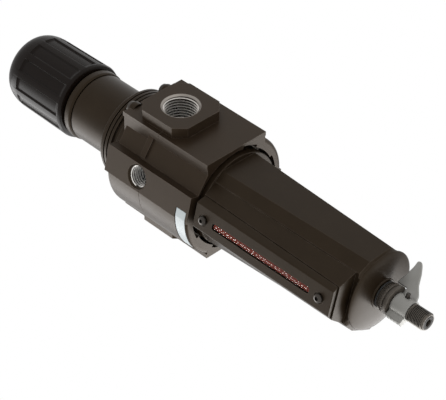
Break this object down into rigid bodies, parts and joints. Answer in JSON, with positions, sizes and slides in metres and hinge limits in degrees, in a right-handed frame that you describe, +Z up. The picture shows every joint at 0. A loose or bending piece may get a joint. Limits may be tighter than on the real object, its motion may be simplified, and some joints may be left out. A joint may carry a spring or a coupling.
{
  "type": "compressed air filter regulator",
  "caption": "Compressed air regulator with a pull-to-unlock adjusting knob, threaded side ports, a gauge port, and a metal filter bowl with a sight gauge and drain.",
  "frame": {"origin": "where the port axis crosses the axis of the body, knob and bowl", "axes": "+X along the pipe run through the ports, +Z up along the body to the knob, +Y towards the plugged rear gauge port (the front with the gauge port looks along -Y turned 14 degrees towards +X)"},
  "size_m": [0.0776, 0.073, 0.3142],
  "materials": {
    "housing_paint": "dark brown-black satin powder coat on die casting",
    "knob_plastic": "near-black moulded plastic, semi-gloss",
    "zinc_plate": "zinc-plated steel",
    "steel": "plain steel",
    "brass": "machined brass",
    "rubber": "black nitrile rubber",
    "acetal": "off-white moulded acetal and sintered filter",
    "label_foil": "blank pale foil",
    "indicator_red": "salmon red float strip",
    "lens_clear": "clear moulded lens",
    "drain_metal": "dark phosphated metal"
  },
  "bodies": {
    "housing": {"body": "housing_paint", "gauge_port_plug": "steel", "label": "label_foil", "bonnet": "housing_paint", "bonnet_collar": "drain_metal", "bonnet_screw_1": "steel", "bonnet_screw_2": "steel", "bonnet_screw_3": "steel", "bonnet_screw_4": "steel", "range_spring": "steel", "diaphragm": "rubber", "valve_seat": "brass", "valve_spring": "steel", "valve_guide": "acetal", "filter_stud": "steel", "deflector": "acetal", "filter_element": "acetal", "baffle": "acetal", "baffle_nut": "brass"},
    "screw": {"adjusting_screw": "zinc_plate", "screw_retaining_ring": "steel"},
    "knob": {"adjusting_knob": "knob_plastic"},
    "nut": {"spring_nut": "zinc_plate"},
    "diaphragm_stack": {"diaphragm_plate": "zinc_plate", "diaphragm_hub": "brass", "diaphragm_nut": "zinc_plate"},
    "poppet": {"valve_poppet": "brass", "poppet_seal": "rubber"},
    "bowl_unit": {"bowl": "housing_paint", "bowl_oring": "rubber", "sight_frame": "housing_paint", "sight_lens": "lens_clear", "level_indicator": "indicator_red", "sight_screw_1": "steel", "sight_screw_2": "steel", "drain_gasket": "rubber", "drain_nut": "drain_metal"},
    "drain": {"drain_stem": "drain_metal", "drain_lever": "drain_metal", "lever_set_screw": "steel"}
  },
  "joints": [
    {"name": "adjust_turn", "type": "hinge", "parent": "housing", "child": "screw", "pos_m": [0, 0, 0], "axis": [0, 0, -1], "range_deg": [0, 2520]},
    {"name": "knob_pull", "type": "slide", "parent": "screw", "child": "knob", "axis": [0, 0, 1], "range_m": [0, 0.0035]},
    {"name": "nut_travel", "type": "slide", "parent": "housing", "child": "nut", "axis": [0, 0, 1], "range_m": [-0.0141, 0], "deforming": ["range_spring"]},
    {"name": "diaphragm_travel", "type": "slide", "parent": "housing", "child": "diaphragm_stack", "axis": [0, 0, 1], "range_m": [-0.002, 0], "stiffness_N_per_m": 2000, "springref_m": 0.001, "deforming": ["diaphragm"]},
    {"name": "valve_lift", "type": "slide", "parent": "housing", "child": "poppet", "axis": [0, 0, 1], "range_m": [-0.0021, 0.0001], "deforming": ["valve_spring"]},
    {"name": "bowl_turn", "type": "hinge", "parent": "housing", "child": "bowl_unit", "pos_m": [0, 0, 0], "axis": [0, 0, 1], "range_deg": [0, 25]},
    {"name": "drain_turn", "type": "hinge", "parent": "bowl_unit", "child": "drain", "pos_m": [0, 0, -0.16], "axis": [0, 0, 1], "range_deg": [0, 90]}
  ],
  "couplings": [
    {"joint": "nut_travel", "follows": "adjust_turn", "m_per_rad": -0.00031831},
    {"joint": "valve_lift", "follows": "diaphragm_travel", "ratio": 1}
  ]
}
